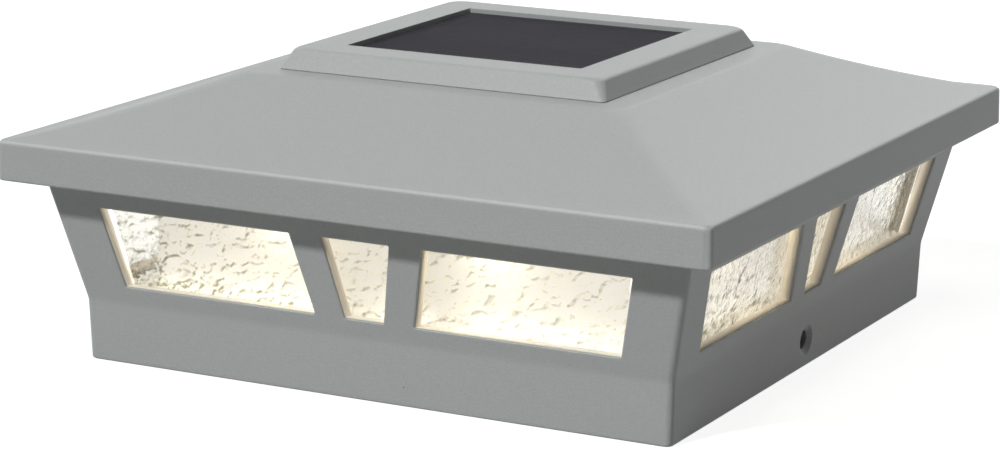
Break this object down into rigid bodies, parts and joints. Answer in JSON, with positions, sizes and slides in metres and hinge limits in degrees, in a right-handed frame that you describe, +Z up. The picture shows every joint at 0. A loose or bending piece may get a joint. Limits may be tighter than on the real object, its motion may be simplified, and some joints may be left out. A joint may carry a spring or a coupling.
{
  "type": "post cap light",
  "caption": "Square solar post cap light: hipped cast roof with a panel on top, flared body with hammered glass windows, and a post sleeve with screw holes.",
  "frame": {"origin": "centre of the bottom rim, on the plane that the rim stands on", "axes": "+Z up; -Y front, a side without a screw hole; +X right, a side with a post screw hole"},
  "size_m": [0.1894, 0.1894, 0.0756],
  "materials": {
    "powder_coat": "fine-textured powder coat on die-cast aluminium, satin",
    "hammered_glass": "clear hammered glass, rippled on its outer face",
    "panel_glass": "low-iron cover glass over dark cells",
    "silicon": "dark polycrystalline silicon strips",
    "white_plastic": "white moulded ABS",
    "black_plastic": "black moulded plastic",
    "foam_seal": "closed-cell EPDM foam",
    "silicone_seal": "translucent white silicone strip",
    "zinc_steel": "bright zinc-plated steel",
    "contact_metal": "nickel-plated spring steel",
    "circuit_board": "green solder mask on glass-fibre board",
    "lamp_board": "white solder mask on aluminium-backed board",
    "lamp_lens": "warm white lamp package with a phosphor window",
    "cell_sleeve": "shrink sleeve on a rechargeable cell",
    "ferrite": "ferrite core with lacquered winding",
    "capacitor_sleeve": "plain sleeve on an aluminium can",
    "lead_jacket": "PVC insulated leads, one red and one black to a pair"
  },
  "bodies": {
    "cap": {"window_body": "powder_coat", "roof_cover": "powder_coat", "roof_seal": "foam_seal", "pane_front": "hammered_glass", "pane_right": "hammered_glass", "pane_back": "hammered_glass", "pane_left": "hammered_glass", "pane_seal_front": "silicone_seal", "pane_seal_right": "silicone_seal", "pane_seal_back": "silicone_seal", "pane_seal_left": "silicone_seal", "light_channel": "white_plastic", "lamp_board_front": "lamp_board", "lamp_board_right": "lamp_board", "lamp_board_back": "lamp_board", "lamp_board_left": "lamp_board", "lamps_front": "lamp_lens", "lamps_right": "lamp_lens", "lamps_back": "lamp_lens", "lamps_left": "lamp_lens", "lamp_leads": "lead_jacket", "body_screws": "zinc_steel", "solar_frame": "powder_coat", "frame_gasket": "foam_seal", "panel_adhesive": "foam_seal", "panel_backing": "circuit_board", "solar_cells": "silicon", "panel_glass": "panel_glass", "frame_screws": "zinc_steel", "lamp_housing": "white_plastic", "housing_gasket": "foam_seal", "housing_cover": "white_plastic", "cover_seal": "foam_seal", "cover_screws": "zinc_steel", "battery_holder": "black_plastic", "battery": "cell_sleeve", "battery_spring": "contact_metal", "contact_minus": "contact_metal", "contact_plus": "contact_metal", "switch_case": "black_plastic", "control_board": "circuit_board", "driver_chip": "black_plastic", "board_inductor": "ferrite", "board_capacitor": "capacitor_sleeve", "board_screws": "zinc_steel", "solar_leads": "lead_jacket", "battery_leads": "lead_jacket", "switch_leads": "lead_jacket"},
    "battery_door": {"battery_door": "white_plastic"},
    "switch_slider": {"switch_slider": "black_plastic"}
  },
  "joints": [
    {"name": "battery_door_hinge", "type": "hinge", "parent": "cap", "child": "battery_door", "pos_m": [0, -0.029, 0.03795], "axis": [-1, 0, 0], "range_deg": [0, 95]},
    {"name": "switch_slide", "type": "slide", "parent": "cap", "child": "switch_slider", "axis": [1, 0, 0], "range_m": [0, 0.003]}
  ]
}
